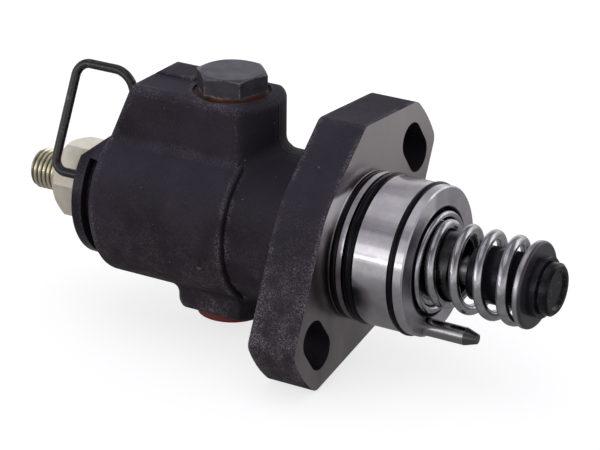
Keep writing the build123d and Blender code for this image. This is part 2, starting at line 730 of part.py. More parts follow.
def plunger_foot():
    """Turned foot that holds the plunger tail and carries the tappet pad."""
    foot = turned(
        (FOOT_HUB_START, 0),
        (FOOT_HUB_START, FOOT_HUB_RADIUS),
        (PLATE_FACE, FOOT_HUB_RADIUS),
        (PLATE_FACE, FOOT_COLLAR_RADIUS),
        (COLLAR_END - FOOT_NECK_WIDTH, FOOT_COLLAR_RADIUS),
        (COLLAR_END - FOOT_NECK_WIDTH, FOOT_PAD_RADIUS - FOOT_NECK_DEPTH),
        (COLLAR_END, FOOT_PAD_RADIUS - FOOT_NECK_DEPTH),
        (COLLAR_END, FOOT_PAD_RADIUS),
        (FOOT_END - FOOT_DISH_DEPTH, FOOT_PAD_RADIUS),
        (FOOT_END, FOOT_PAD_RADIUS - FOOT_DISH_DEPTH),
        (FOOT_END, FOOT_DISH_RADIUS),
        (FOOT_END - FOOT_DISH_DEPTH, FOOT_DISH_RADIUS - FOOT_DISH_DEPTH),
        (FOOT_END - FOOT_DISH_DEPTH, 0),
    )
    tail = FOOT_HUB_START + PLUNGER_TAIL_LENGTH
    return foot - rod(FOOT_HUB_START, tail, PLUNGER_RADIUS + RUNNING_GAP)


def spring_plate():
    """Lower spring plate, caught behind the foot collar."""
    bore = FOOT_HUB_RADIUS + RUNNING_GAP
    plate = tube(PLATE_BACK, PLATE_FACE, bore, PLATE_RADIUS)
    rim = plate.edges().filter_by(lambda e: e.length > 2 * math.pi * (PLATE_RADIUS - 1))
    return fillet(rim, PLATE_RIM_RADIUS)


def plunger_spring():
    """Return spring of the plunger."""
    return coil(
        SEAT_FLOOR,
        PLATE_BACK,
        SPRING_MEAN_RADIUS,
        SPRING_WIRE,
        SPRING_PITCH,
        SPRING_CLOSED_PITCH,
    )


def upper_spring_seat():
    """Pressed cup in the pilot recess that the spring stands in."""
    rim = RECESS_FLOOR + SEAT_HEIGHT
    inner = SEAT_RADIUS - SEAT_WALL
    cup = turned(
        (RECESS_FLOOR, SEAT_HOLE_RADIUS),
        (RECESS_FLOOR, SEAT_RADIUS),
        (rim, SEAT_RADIUS),
        (rim, inner),
        (SEAT_FLOOR, inner),
        (SEAT_FLOOR, SEAT_HOLE_RADIUS),
    )
    lip = cup.faces().sort_by(Axis.X)[-1]
    return fillet(lip.edges(), SEAT_RIM_RADIUS)


# ---------------------------------------------------------------- control
def arm_socket(radius, start, end):
    """Round bar pointing along +Y at the arm station."""
    return Pos(ARM_STATION, (start + end) / 2, 0) * Rot(90, 0, 0) * Cylinder(radius, end - start)


def control_sleeve():
    """Turning sleeve with two long slots for the plunger vane."""
    collar_start = SLEEVE_COLLAR_END - SLEEVE_COLLAR_LENGTH
    sleeve = turned(
        (SLEEVE_START, 0),
        (SLEEVE_START, SLEEVE_RADIUS),
        (collar_start, SLEEVE_RADIUS),
        (collar_start, SLEEVE_COLLAR_RADIUS),
        (SLEEVE_COLLAR_END, SLEEVE_COLLAR_RADIUS),
        (SLEEVE_COLLAR_END, SLEEVE_RADIUS),
        (SLEEVE_END, SLEEVE_RADIUS),
        (SLEEVE_END, 0),
    )
    sleeve -= rod(SLEEVE_START, SLEEVE_END, BARREL_NOSE_RADIUS + RUNNING_GAP)
    half = VANE_WIDTH / 2 + RUNNING_GAP
    sleeve -= block(SLEEVE_SLOT_START, SLEEVE_SLOT_END, -FAR, FAR, -half, half)
    seat = SLEEVE_COLLAR_RADIUS - ARM_SEAT_DEPTH
    return sleeve - arm_socket(ARM_SHANK_RADIUS, seat, FAR)


def control_arm():
    """Arm with a ball end, pressed into the sleeve collar."""
    seat = SLEEVE_COLLAR_RADIUS - ARM_SEAT_DEPTH
    shank = arm_socket(ARM_SHANK_RADIUS, seat, ARM_REACH)
    return shank + Pos(ARM_STATION, ARM_REACH, 0) * Sphere(ARM_BALL_RADIUS)


# ---------------------------------------------------------------- pilot fittings
def pilot_ring(name):
    """Rubber ring seated in its pilot groove."""
    start, cord, outside = pilot_rings()[name]
    return ring(start + RING_SIDE_GAP + cord / 2, outside - cord / 2, cord)


def guide_pin():
    """Fixed pin in the pilot face with a tapered tip."""
    y, z = polar(GUIDE_PIN_CENTRE_RADIUS, GUIDE_PIN_ANGLE)
    tip = PILOT_LENGTH + GUIDE_PIN_LENGTH
    pin = turned(
        (PILOT_LENGTH - GUIDE_PIN_SHANK_LENGTH, 0),
        (PILOT_LENGTH - GUIDE_PIN_SHANK_LENGTH, GUIDE_PIN_SHANK_RADIUS),
        (PILOT_LENGTH, GUIDE_PIN_SHANK_RADIUS),
        (PILOT_LENGTH, GUIDE_PIN_RADIUS),
        (tip - GUIDE_PIN_TAPER, GUIDE_PIN_RADIUS),
        (tip, GUIDE_PIN_TIP_RADIUS),
        (tip, 0),
    )
    return Pos(0, y, z) * pin


# ---------------------------------------------------------------- delivery valve group
def delivery_valve_body():
    """Seat body clamped between barrel head and holder."""
    seat = tube(VALVE_NECK_START, BARREL_TOP, VALVE_BORE_RADIUS, VALVE_SEAT_RADIUS)
    return seat + tube(VALVE_SEAT_TOP, VALVE_NECK_START, VALVE_BORE_RADIUS, VALVE_NECK_RADIUS)


def delivery_valve():
    """Spring-loaded valve with a fluted guide and a spring peg."""
    seat = VALVE_SEAT_TOP - RUNNING_GAP
    guide = VALVE_BORE_RADIUS - RUNNING_GAP
    valve = turned(
        (VALVE_HEAD_TOP - VALVE_PEG_LENGTH, 0),
        (VALVE_HEAD_TOP - VALVE_PEG_LENGTH, VALVE_PEG_RADIUS),
        (VALVE_HEAD_TOP, VALVE_PEG_RADIUS),
        (VALVE_HEAD_TOP, VALVE_HEAD_RADIUS),
        (seat - VALVE_HEAD_RIM, VALVE_HEAD_RADIUS),
        (seat, VALVE_HEAD_RADIUS - VALVE_HEAD_RIM),
        (seat, guide),
        (seat + VALVE_GUIDE_LENGTH, guide),
        (seat + VALVE_GUIDE_LENGTH, 0),
    )
    half = VALVE_FLUTE_WIDTH / 2
    floor = guide - VALVE_FLUTE_DEPTH
    start = seat + VALVE_HEAD_RIM
    flute = block(start, seat + VALVE_GUIDE_LENGTH, -half, half, floor, guide)
    for turn in range(4):
        valve -= Rot(90 * turn, 0, 0) * flute
    return valve


def delivery_valve_spring():
    """Closing spring of the delivery valve."""
    return coil(
        HOLDER_CAVITY_END,
        VALVE_HEAD_TOP,
        VALVE_SPRING_RADIUS,
        VALVE_SPRING_WIRE,
        VALVE_SPRING_PITCH,
        VALVE_SPRING_WIRE + 2 * RUNNING_GAP,
    )


def delivery_valve_gasket():
    """Sealing ring between seat body and holder."""
    inner = VALVE_NECK_RADIUS + LOCATION_GAP
    return tube(GASKET_TOP, VALVE_NECK_START, inner, VALVE_SEAT_RADIUS)


def delivery_valve_holder():
    """Screwed holder with hexagon, union thread and fuel bore."""
    holder = turned(
        (GASKET_TOP, 0),
        (GASKET_TOP, HOLDER_NOSE_RADIUS),
        (HOLDER_SHANK_START, HOLDER_NOSE_RADIUS),
        (HOLDER_SHANK_START, HOLDER_SHANK_RADIUS),
        (HOLDER_HEX_START, HOLDER_SHANK_RADIUS),
        (HOLDER_HEX_START, 0),
    )
    corner = HOLDER_HEX / math.sqrt(3)
    bar = Rot(0, -90, 0) * hexagon(HOLDER_HEX, -HOLDER_HEX_START, -HOLDER_HEX_END, HOLDER_HEX_TURN)
    bevel_start = HOLDER_HEX_START - HOLDER_HEX_BEVEL_START
    bar &= turned(
        (HOLDER_HEX_START, 0),
        (HOLDER_HEX_START, corner),
        (bevel_start, corner),
        (HOLDER_HEX_END, HOLDER_HEX_END_RADIUS),
        (HOLDER_HEX_END, 0),
    )
    holder += bar
    holder += turned(
        (HOLDER_HEX_END, 0),
        (HOLDER_HEX_END, UNION_RELIEF_RADIUS),
        (UNION_START, UNION_RELIEF_RADIUS),
        (UNION_START, UNION_THREAD_RADIUS),
        (UNION_END + UNION_CHAMFER, UNION_THREAD_RADIUS),
        (UNION_END, UNION_THREAD_RADIUS - UNION_CHAMFER),
        (UNION_END, 0),
    )
    holder -= rod(HOLDER_CAVITY_END, GASKET_TOP, HOLDER_CAVITY_RADIUS)
    holder -= turned(
        (HOLDER_CAVITY_END, 0),
        (HOLDER_CAVITY_END, UNION_BORE_RADIUS),
        (UNION_END + UNION_CONE_DEPTH, UNION_BORE_RADIUS),
        (UNION_END, UNION_CONE_RADIUS),
        (UNION_END, 0),
    )
    mean = seal_gap_radius(THREAD_BORE_RADIUS, HOLDER_SEAL_CORD)
    return holder - groove_for(HOLDER_SEAL_STATION, mean, HOLDER_SEAL_CORD)


def valve_holder_o_ring():
    """Ring that keeps dirt out of the holder thread."""
    mean = seal_gap_radius(THREAD_BORE_RADIUS, HOLDER_SEAL_CORD)
    return ring(HOLDER_SEAL_STATION, mean, HOLDER_SEAL_CORD)


# ---------------------------------------------------------------- port fittings
def top_plug_bolt():
    """Hexagon plug in the upper port."""
    top = PLUG_HEAD_BASE + PLUG_HEAD_HEIGHT
    head = hexagon(PLUG_HEX, PLUG_HEAD_BASE, top, PLUG_HEX_TURN)
    corner = PLUG_HEX / math.sqrt(3)
    bevel = Pos(0, 0, top - PLUG_BEVEL) * Cone(
        corner + PLUG_BEVEL,
        PLUG_HEX / 2 - PLUG_BEVEL / 2,
        PLUG_BEVEL,
        align=(Align.CENTER, Align.CENTER, Align.MIN),
    )
    bevel += upright(0, PLUG_HEAD_BASE, top - PLUG_BEVEL, corner + PLUG_BEVEL)
    bolt = Pos(PORT_STATION, 0, 0) * (head & bevel)
    shank_end = PLUG_HEAD_BASE - PLUG_SHANK_LENGTH
    return bolt + upright(PORT_STATION, shank_end, PLUG_HEAD_BASE, PLUG_SHANK_RADIUS)


def top_washer():
    """Copper sealing washer under the plug head."""
    washer = upright(PORT_STATION, SPOT_FACE_HEIGHT, PLUG_HEAD_BASE, WASHER_RADIUS)
    bore = PORT_BORE_RADIUS + LOCATION_GAP
    return washer - upright(PORT_STATION, SPOT_FACE_HEIGHT, PLUG_HEAD_BASE, bore)


def bottom_port_cap():
    """Soft transport plug pushed into the lower port."""
    flange_end = LOWER_BOSS_BOTTOM - CAP_FLANGE_THICKNESS
    top = LOWER_BOSS_BOTTOM + CAP_BODY_LENGTH
    cap = upright(PORT_STATION, flange_end, LOWER_BOSS_BOTTOM, CAP_FLANGE_RADIUS)
    cap += upright(PORT_STATION, LOWER_BOSS_BOTTOM, top, CAP_BODY_RADIUS)
    return cap - upright(PORT_STATION, LOWER_BOSS_BOTTOM, top, CAP_BODY_RADIUS - CAP_WALL)


PARTS = {
    "housing": housing,
    "barrel": barrel,
    "barrel_o_ring": barrel_o_ring,
    "barrel_locating_pin": lambda: locating_pin_bar(LOCATING_PIN_RADIUS),
    "plunger": plunger,
    "plunger_foot": plunger_foot,
    "spring_plate": spring_plate,
    "plunger_spring": plunger_spring,
    "upper_spring_seat": upper_spring_seat,
    "control_sleeve": control_sleeve,
    "control_arm": control_arm,
    "flange_o_ring": lambda: pilot_ring("flange"),
    "middle_o_ring": lambda: pilot_ring("middle"),
    "front_o_ring": lambda: pilot_ring("front"),
    "guide_pin": guide_pin,
    "delivery_valve_body": delivery_valve_body,
    "delivery_valve": delivery_valve,
    "delivery_valve_spring": delivery_valve_spring,
    "delivery_valve_gasket": delivery_valve_gasket,
    "delivery_valve_holder": delivery_valve_holder,
    "valve_holder_o_ring": valve_holder_o_ring,
    "top_plug_bolt": top_plug_bolt,
    "top_washer": top_washer,
    "bottom_port_cap": bottom_port_cap,
    "wire_clip": lambda: clip_bar(CLIP_WIRE_RADIUS),
}

os.makedirs("parts", exist_ok=True)
for name, make in PARTS.items():
    export_step(make(), f"parts/{name}.step")
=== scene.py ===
"""Looks of a single-cylinder injection pump: pieces of the scene, finishes, light and camera.

Blender works in metres. Sizes and places are written here in millimetres and multiplied by MM.
X runs along the plunger axis towards the foot, and Z is up.
"""

import contextlib
import math
import types

import bpy
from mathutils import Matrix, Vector


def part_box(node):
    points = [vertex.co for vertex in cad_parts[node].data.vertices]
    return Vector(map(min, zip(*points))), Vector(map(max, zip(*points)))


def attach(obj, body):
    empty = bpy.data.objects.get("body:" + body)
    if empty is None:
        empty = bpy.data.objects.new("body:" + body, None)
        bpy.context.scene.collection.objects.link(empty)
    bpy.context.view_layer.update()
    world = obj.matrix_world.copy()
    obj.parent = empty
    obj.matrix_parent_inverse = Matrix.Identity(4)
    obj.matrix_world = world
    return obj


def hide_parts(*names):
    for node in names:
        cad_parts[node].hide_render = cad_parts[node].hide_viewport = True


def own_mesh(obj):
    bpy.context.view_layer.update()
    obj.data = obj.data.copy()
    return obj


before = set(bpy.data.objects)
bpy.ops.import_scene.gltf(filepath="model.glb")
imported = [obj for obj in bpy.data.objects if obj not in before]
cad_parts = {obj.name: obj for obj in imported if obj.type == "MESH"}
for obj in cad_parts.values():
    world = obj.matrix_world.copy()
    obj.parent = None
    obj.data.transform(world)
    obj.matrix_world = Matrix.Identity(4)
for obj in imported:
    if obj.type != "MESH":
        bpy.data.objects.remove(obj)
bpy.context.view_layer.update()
MM = 0.001


def reach(node):
    """Lowest and highest X of a CAD node, in millimetres."""
    low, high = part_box(node)
    return round(low.x / MM, 2), round(high.x / MM, 2)


# ------------------------------------------------------------------ stations and radii, in millimetres
PILOT_END = reach("housing")[1]
SPRING_SEAT, SPRING_PLATE = reach("plunger_spring")
PLATE_FACE = reach("spring_plate")[1]
FOOT_END = reach("plunger_foot")[1]
PIN_END = reach("guide_pin")[1]
THREAD_END = reach("delivery_valve_holder")[0]

FLANGE_BACK = -15.0
BODY_FRONT = -32.7
BODY_END = -78.5
PILOT_RADIUS = 21.0
PILOT_CHAMFER = 0.4
RECESS_RADIUS = 15.3
PLATE_RADIUS = 12.1
DISH_RADIUS = 5.4
PIN_TAPER = 3.5
SLOT_DIRECTION = 36.5       # degrees above +Y of the line through both slots of the flange
SLOT_CENTRE_RADIUS = 33.3
SLOT_WIDTH = 10.6
SLOT_LENGTH = 17.0

# union thread: one ridge wound round the holder
UNION_RADIUS = 6.0
THREAD_START = -100.1
THREAD_PITCH = 1.5
THREAD_TURNS = 9
THREAD_ROOT = 5.1
THREAD_CREST = 5.97
THREAD_BED = 0.2            # depth of the ridge in the core
RIDGE_WIDTH = 1.42          # at its foot
CREST_WIDTH = 0.22
LIMIT_GAP = 0.06            # round the crests, to the cylinder that trims the ridge
THREAD_CHAMFER = 0.85

# plunger spring
WIRE_GAIN = 0.25            # more on the radius of the wire than in the solid
COIL_SCALE = 0.98           # keeps the outer size of the thicker coils
SEAT_GAP = 0.02
TIP_SECTOR = (20, 175)      # degrees from +Y over which the end of the last turn is cut away
TIP_STATION = 46.439
TIP_RISE = 0.0139           # along X for each degree
OPEN_COILS = (25.5, 46.0)
COIL_SHIFT = -0.65
COIL_SHIFT_FADE = 5.0

# rolled rim of the cup that the spring stands in
RIM_STATION = 22.5
RIM_RADIUS = 13.35
RIM_THICKNESS = 0.95        # radius of its cross-section

# ledge on the upper boss
LEDGE_CENTRE = (-62.9, 5.4)
LEDGE_SIZE = (13.4, 10.4)
LEDGE_FOOT = 36.2
LEDGE_TOP = 37.45
LEDGE_LEAN = 1.4
LEDGE_ROUNDING = 0.55

MERGE_DISTANCE = 0.0005

# where the finishes of the casting change: two places from none to full, four for a band
COAT_LOW = (8, -24)                             # Z: warmer and dustier
COAT_FAR_SIDE = (4, 12)                         # Y: darker
COAT_FAR_END = (-80, -83)                       # X: darker
NECK_LENGTHWISE = (BODY_FRONT - 5.3, BODY_FRONT + 1.7)
NECK_TOP = (8, 20)                              # Z
FLANGE_DUST = (22, -8)                          # Z: dust on the rim of the flange
MOULD_SEAM = (-31.5, -30.0, -18.0, -16.0)       # X
AROUND_PILOT = (31, 28)                         # radius
LEFT_OF_PILOT = (-7, -12)                       # Y
FACE_BRIGHT_REFLECTION_HEIGHTS = (9.0, 16.5, 19.0, 20.8)              # Z
FACE_DARK_REFLECTION_HEIGHTS = (-8.5, -4.0, 6.0, 9.5)         # Z
FACE_PALER = (-5, 30)                           # Z
END_SHADE_SIDE = (-3, -15)                      # Y
END_SHADE_HEIGHT = (-9, 1, 8, 20)               # Z
GLINT_SIDE = (-1, -4)                           # Y
GLINT_HEIGHT = (11, 16)                         # Z
UNDERSIDE = (-4, -13)                           # Z


# ------------------------------------------------------------------ shader maths
class Value:
    """A number that varies over a surface. Python's operators on it add Math nodes."""

    def __init__(self, nodes, socket):
        self.nodes = nodes
        self.socket = socket

    def __add__(self, other):
        return self.nodes.maths("ADD", self, other)

    def __sub__(self, other):
        return self.nodes.maths("SUBTRACT", self, other)

    def __rsub__(self, other):
        return self.nodes.maths("SUBTRACT", other, self)

    def __mul__(self, other):
        return self.nodes.maths("MULTIPLY", self, other)

    __radd__ = __add__
    __rmul__ = __mul__

    def size(self):
        """The value without its sign."""
        return self.nodes.maths("ABSOLUTE", self)

    def most(self, other):
        """The larger of the two."""
        return self.nodes.maths("MAXIMUM", self, other)

    def hypot(self, other):
        """The long side over two sides at a right angle."""
        return self.nodes.maths("SQRT", self * self + other * other)

    def steps(self, none, full):
        """Smooth change from 0 to 1 as the value goes from none to full."""
        sockets = dict(enumerate((self, none, full)))
        node = self.nodes.add("ShaderNodeMapRange", sockets, interpolation_type="SMOOTHSTEP")
        return Value(self.nodes, node.outputs[0])

    def band(self, start, full_from, full_to, end):
        """1 from full_from to full_to, and 0 before start and after end."""
        return self.steps(start, full_from) * self.steps(end, full_to)


class Nodes:
    """The nodes of one world or material, which all come from add."""

    def __init__(self, tree):
        self.tree = tree
        tree.nodes.clear()

    def add(self, kind, sockets=None, **settings):
        """A node with these settings, and with values or links in the sockets named or numbered."""
        node = self.tree.nodes.new(kind)
        for name, setting in settings.items():
            setattr(node, name, setting)
        for key, value in (sockets or {}).items():
            self.feed(node.inputs[key], value)
        return node

    def feed(self, socket, value):
        """Sets a socket to a value, or links one to it. A colour has three parts."""
        if isinstance(value, Value):
            value = value.socket
        if isinstance(value, bpy.types.NodeSocket):
            self.tree.links.new(value, socket)
        elif socket.type == "RGBA":
            socket.default_value = (*value, 1.0)
        else:
            socket.default_value = value

    def maths(self, operation, *values):
        """The result of a Math node."""
        node = self.add("ShaderNodeMath", dict(enumerate(values)), operation=operation)
        return Value(self, node.outputs[0])

    def split(self, vector):
        """The X, Y and Z of a vector."""
        node = self.add("ShaderNodeSeparateXYZ", {0: vector})
        return [Value(self, socket) for socket in node.outputs]

    def blend(self, amount, low, high):
        """Colour between low and high. They are sockets 6 and 7 of a Mix node."""
        return self.add("ShaderNodeMix", {0: amount, 6: low, 7: high}, data_type="RGBA").outputs[2]


class Look(Nodes):
    """One procedural finish on Object coordinates. Its x, y and z are in millimetres."""

    def __init__(self, name):
        self.material = bpy.data.materials.new(name)
        self.material.use_nodes = True
        super().__init__(self.material.node_tree)
        self.shader = self.add("ShaderNodeBsdfPrincipled")
        self.add("ShaderNodeOutputMaterial", {"Surface": self.shader.outputs[0]})
        self.place = self.add("ShaderNodeTexCoord").outputs["Object"]
        self.x, self.y, self.z = (metres * (1 / MM) for metres in self.split(self.place))
        self.relief = None

    def off_axis(self):
        """Distance from the plunger axis."""
        return self.y.hypot(self.z)

    def stretched(self, *scale):
        """Object coordinates scaled along each axis."""
        return self.add("ShaderNodeMapping", {"Vector": self.place, "Scale": scale}).outputs[0]

    def noise(self, grain, detail=3.0, rough=0.55, where=None):
        """Noise with features of about grain millimetres, from 0 to 1."""
        sockets = {
            "Vector": where or self.place,
            "Scale": 1 / MM / grain,
            "Detail": detail,
            "Roughness": rough,
        }
        return Value(self, self.add("ShaderNodeTexNoise", sockets).outputs[0])

    def facing(self):
        """X, Y and Z of the true normal."""
        true = self.add("ShaderNodeNewGeometry").outputs["True Normal"]
        turned = self.add(
            "ShaderNodeVectorTransform",
            {0: true},
            vector_type="NORMAL",
            convert_from="WORLD",
            convert_to="OBJECT",
        )
        return self.split(turned.outputs[0])

    def edge(self, radius):
        """Rises from 0 near edges and corners, within about radius millimetres."""
        plain = self.add("ShaderNodeNewGeometry").outputs["Normal"]
        rounded = self.add("ShaderNodeBevel", {"Radius": radius * MM}, samples=6).outputs[0]
        alike = self.add("ShaderNodeVectorMath", {0: plain, 1: rounded}, operation="DOT_PRODUCT")
        return 1 - Value(self, alike.outputs["Value"])

    def bump(self, height, depth, strength):
        """Adds relief, depth millimetres high where height is 1."""
        sockets = {"Strength": strength, "Distance": depth * MM, "Height": height}
        if self.relief:
            sockets["Normal"] = self.relief
        self.relief = self.add("ShaderNodeBump", sockets).outputs["Normal"]
        self.feed(self.shader.inputs["Normal"], self.relief)

    def finish(self, colour, rough, metal=0.0, specular=0.5):
        """Feeds the shader and returns the finished material."""
        self.feed(self.shader.inputs["Base Color"], colour)
        self.feed(self.shader.inputs["Roughness"], rough)
        self.feed(self.shader.inputs["Metallic"], metal)
        self.feed(self.shader.inputs["Specular IOR Level"], specular)
        return self.material


def dress(material, *pieces):
    """Gives CAD nodes, by name, or pieces of the scene this finish."""
    for piece in pieces:
        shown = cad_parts[piece] if isinstance(piece, str) else piece
        shown.data.materials.clear()
        shown.data.materials.append(material)


# ------------------------------------------------------------------ modelling helpers
@contextlib.contextmanager
def edit_mode():
    """Edit mode for the length of a with block."""
    bpy.ops.object.mode_set(mode="EDIT")
    yield
    bpy.ops.object.mode_set(mode="OBJECT")


def placed(name):
    """Names the primitive that was just added, and moves its place into its mesh."""
    piece = bpy.context.object
    piece.name = name
    piece.data.name = name
    bpy.ops.object.transform_apply(location=True, rotation=True, scale=True)
    return piece


def only(piece):
    """Makes this piece the one selected object."""
    bpy.ops.object.select_all(action="DESELECT")
    piece.select_set(True)
    bpy.context.view_layer.objects.active = piece


def pick(piece, test):
    """Selects the vertices whose X, Y and Z in millimetres pass the test, and what lies between them."""
    vertices = piece.data.vertices
    for vertex in vertices:
        vertex.select = bool(test(*(v / MM for v in vertex.co)))
    for edge in piece.data.edges:
        edge.select = all(vertices[i].select for i in edge.vertices)
    for face in piece.data.polygons:
        face.select = all(vertices[i].select for i in face.vertices)


def copied(node, name):
    """A loose copy of a CAD node's mesh, with its doubled vertices merged."""
    piece = bpy.data.objects.new(name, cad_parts[node].data.copy())
    bpy.context.scene.collection.objects.link(piece)
    only(piece)
    with edit_mode():
        bpy.ops.mesh.select_all(action="SELECT")
        bpy.ops.mesh.remove_doubles(threshold=MERGE_DISTANCE * MM)
        bpy.ops.mesh.customdata_custom_splitnormals_clear()
    return piece


def softened(piece, angle):
    """Smooth shading where faces meet at less than this many degrees."""
    only(piece)
    bpy.ops.object.shade_smooth_by_angle(angle=math.radians(angle))
    return piece


# ------------------------------------------------------------------ springs
def heavier_wire(coil):
    """Thickens the wire, ends the last turn behind the plate and shifts the open coils to the pilot."""

    def end_of_last_turn(x, y, z):
        first, last = TIP_SECTOR
        turned = math.degrees(math.atan2(z, y)) % 360
        return first < turned < last and x > TIP_STATION + TIP_RISE * (turned - first)

    pick(coil, end_of_last_turn)
    with edit_mode():
        bpy.ops.mesh.delete(type="VERT")
        bpy.ops.mesh.select_non_manifold()
        bpy.ops.mesh.edge_face_add()
        bpy.ops.mesh.select_all(action="SELECT")
        bpy.ops.transform.shrink_fatten(value=WIRE_GAIN * MM)
        bpy.ops.transform.resize(value=(1, COIL_SCALE, COIL_SCALE), center_override=(0, 0, 0))
    for seat, outwards in ((SPRING_SEAT + SEAT_GAP, -1), (SPRING_PLATE - SEAT_GAP, 1)):
        pick(coil, lambda x, y, z: (x - seat) * outwards > 0)
        with edit_mode():
            bpy.ops.transform.resize(value=(0, 1, 1), center_override=(seat * MM, 0, 0))
    pick(coil, lambda x, y, z: OPEN_COILS[0] < x < OPEN_COILS[1])
    with edit_mode():
        bpy.ops.transform.translate(
            value=(COIL_SHIFT * MM, 0, 0),
            use_proportional_edit=True,
            proportional_edit_falloff="SMOOTH",
            proportional_size=COIL_SHIFT_FADE * MM,
        )


def moving_spring(node, name, change=None):
    """A copy of a CAD spring, changed if asked, that stands in for the CAD node and is fixed to the pump
    body.
    """
    coil = copied(node, name)
    if change:
        change(coil)
    softened(coil, 40)
    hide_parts(node)
    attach(coil, "pump_body")
    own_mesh(coil)
    return coil


# ------------------------------------------------------------------ union thread
def thread_ridge():
    """One helical ridge, longer than the thread at both ends."""
    foot = THREAD_ROOT - THREAD_BED
    height = THREAD_CREST - foot
    mid = (foot + THREAD_CREST) / 2
    place = ((THREAD_START + 2 * THREAD_PITCH) * MM, 0, mid * MM)
    bpy.ops.mesh.primitive_plane_add(size=height * MM, location=place, rotation=(math.radians(90), 0, 0))
    ridge = placed("union_thread")
    for inner, width in ((True, RIDGE_WIDTH), (False, CREST_WIDTH)):
        pick(ridge, lambda x, y, z: (z < mid) == inner)
        with edit_mode():
            bpy.ops.transform.resize(value=(width / height, 1, 1), center_override=place)
    with edit_mode():
        bpy.ops.mesh.select_all(action="SELECT")
        bpy.ops.mesh.delete(type="ONLY_FACE")
    screw = ridge.modifiers.new("turns", "SCREW")
    screw.axis = "X"
    screw.screw_offset = -THREAD_PITCH * MM
    screw.iterations = THREAD_TURNS
    screw.steps = 64
    screw.render_steps = 64
    bpy.ops.object.modifier_apply(modifier="turns")
    with edit_mode():
        bpy.ops.mesh.select_all(action="SELECT")
        bpy.ops.mesh.remove_doubles(threshold=MERGE_DISTANCE * MM)
        bpy.ops.mesh.select_all(action="DESELECT")
        bpy.ops.mesh.select_non_manifold()
        bpy.ops.mesh.edge_face_add()
        bpy.ops.mesh.select_all(action="SELECT")
        bpy.ops.mesh.normals_make_consistent(inside=False)
    return ridge


def thread_limit():
    """The cylinder, chamfered at the open end, that the ridge is trimmed to."""
    bpy.ops.mesh.primitive_cylinder_add(
        vertices=96,
        radius=(THREAD_CREST + LIMIT_GAP) * MM,
        depth=(THREAD_START - THREAD_END) * MM,
        location=((THREAD_START + THREAD_END) / 2 * MM, 0, 0),
        rotation=(0, math.radians(90), 0),
    )
    limit = placed("thread_limit")
    with edit_mode():
        bpy.ops.mesh.select_all(action="SELECT")
        bpy.ops.mesh.normals_make_consistent(inside=False)
    pick(limit, lambda x, y, z: x < THREAD_END + 0.1)
    with edit_mode():
        bpy.ops.mesh.bevel(offset=THREAD_CHAMFER * MM, segments=1, affect="EDGES")
    return limit


def union_thread():
    """The ridge of the thread between its two ends."""
    ridge = thread_ridge()
    limit = thread_limit()
    only(ridge)
    cut = ridge.modifiers.new("limit", "BOOLEAN")
    cut.operation = "INTERSECT"
    cut.solver = "EXACT"
    cut.object = limit
    bpy.ops.object.modifier_apply(modifier="limit")
    bpy.data.objects.remove(limit, do_unlink=True)
    return softened(ridge, 40)


def threaded_holder():
    """The valve holder, with its plain union end turned down to the root and the thread on it."""
    holder = copied("delivery_valve_holder", "valve_holder_with_thread")
    pick(holder, lambda x, y, z: x < THREAD_START + 0.3 and math.hypot(y, z) > UNION_RADIUS - 0.3)
    root = THREAD_ROOT / UNION_RADIUS
    with edit_mode():
        bpy.ops.transform.resize(value=(1, root, root), center_override=(0, 0, 0))
    ridge = union_thread()
    only(holder)
    ridge.select_set(True)
    bpy.ops.object.join()
    softened(holder, 40)
    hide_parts("delivery_valve_holder")
    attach(holder, "pump_body")
    return holder


# ------------------------------------------------------------------ relief on the casting and the cup
def casting_ledge():
    """The rear half of the upper boss stands a little higher at the mould joint."""
    (x, y), (length, width) = LEDGE_CENTRE, LEDGE_SIZE
    middle, height = (LEDGE_FOOT + LEDGE_TOP) / 2, LEDGE_TOP - LEDGE_FOOT
    bpy.ops.mesh.primitive_cube_add(
        size=1, location=(x * MM, y * MM, middle * MM), scale=(length * MM, width * MM, height * MM)
    )
    ledge = placed("boss_top_ledge")
    pick(ledge, lambda px, py, pz: px < x and pz > middle)
    with edit_mode():
        bpy.ops.transform.translate(value=(LEDGE_LEAN * MM, 0, 0))
    pick(ledge, lambda px, py, pz: pz > middle)
    with edit_mode():
        bpy.ops.mesh.bevel(offset=LEDGE_ROUNDING * MM, segments=4, affect="EDGES")
    softened(ledge, 45)
    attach(ledge, "pump_body")
    return ledge


def rolled_rim():
    """The thick rolled rim of the cup that the spring stands in."""
    bpy.ops.mesh.primitive_torus_add(
        major_segments=128,
        minor_segments=24,
        major_radius=RIM_RADIUS * MM,
        minor_radius=RIM_THICKNESS * MM,
        location=(RIM_STATION * MM, 0, 0),
        rotation=(0, math.radians(90), 0),
    )
    rim = placed("seat_rolled_rim")
    softened(rim, 60)
    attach(rim, "pump_body")
    return rim


# ------------------------------------------------------------------ colours: red, green and blue, linear
# a pair runs from the darker to the paler shade of one finish
WHITE = (1.0, 1.0, 1.0)
BLACK = (0.0, 0.0, 0.0)

COAT = ((0.0165, 0.0122, 0.0172), (0.0330, 0.0250, 0.0400))
COAT_GRAIN = (0.044, 0.037, 0.046)
COAT_TOP_PAINTED_LIGHT = (0.040, 0.035, 0.056)
COAT_BELOW = (0.038, 0.028, 0.030)
COAT_SHADED = (0.009, 0.0075, 0.0115)
COAT_SLOT_PAINTED_SHADE = (0.008, 0.007, 0.009)
DUST = (0.215, 0.195, 0.205)
NICK = (0.30, 0.285, 0.29)

PILOT_STEEL = ((0.46, 0.44, 0.465), (0.60, 0.58, 0.615))
PILOT_STAIN = (0.24, 0.21, 0.21)
PILOT_SHADED = (0.16, 0.145, 0.18)
PILOT_GLINT = (0.90, 0.89, 0.92)
RECESS_PAINTED_SHADE = (0.10, 0.098, 0.11)
FACE_STEEL = ((0.25, 0.228, 0.232), (0.40, 0.366, 0.368))
FACE_TOP_PAINTED_LIGHT = (0.62, 0.565, 0.57)
FACE_DARK_REFLECTION = (0.10, 0.092, 0.098)
FACE_BRIGHT_REFLECTION = (0.93, 0.91, 0.93)

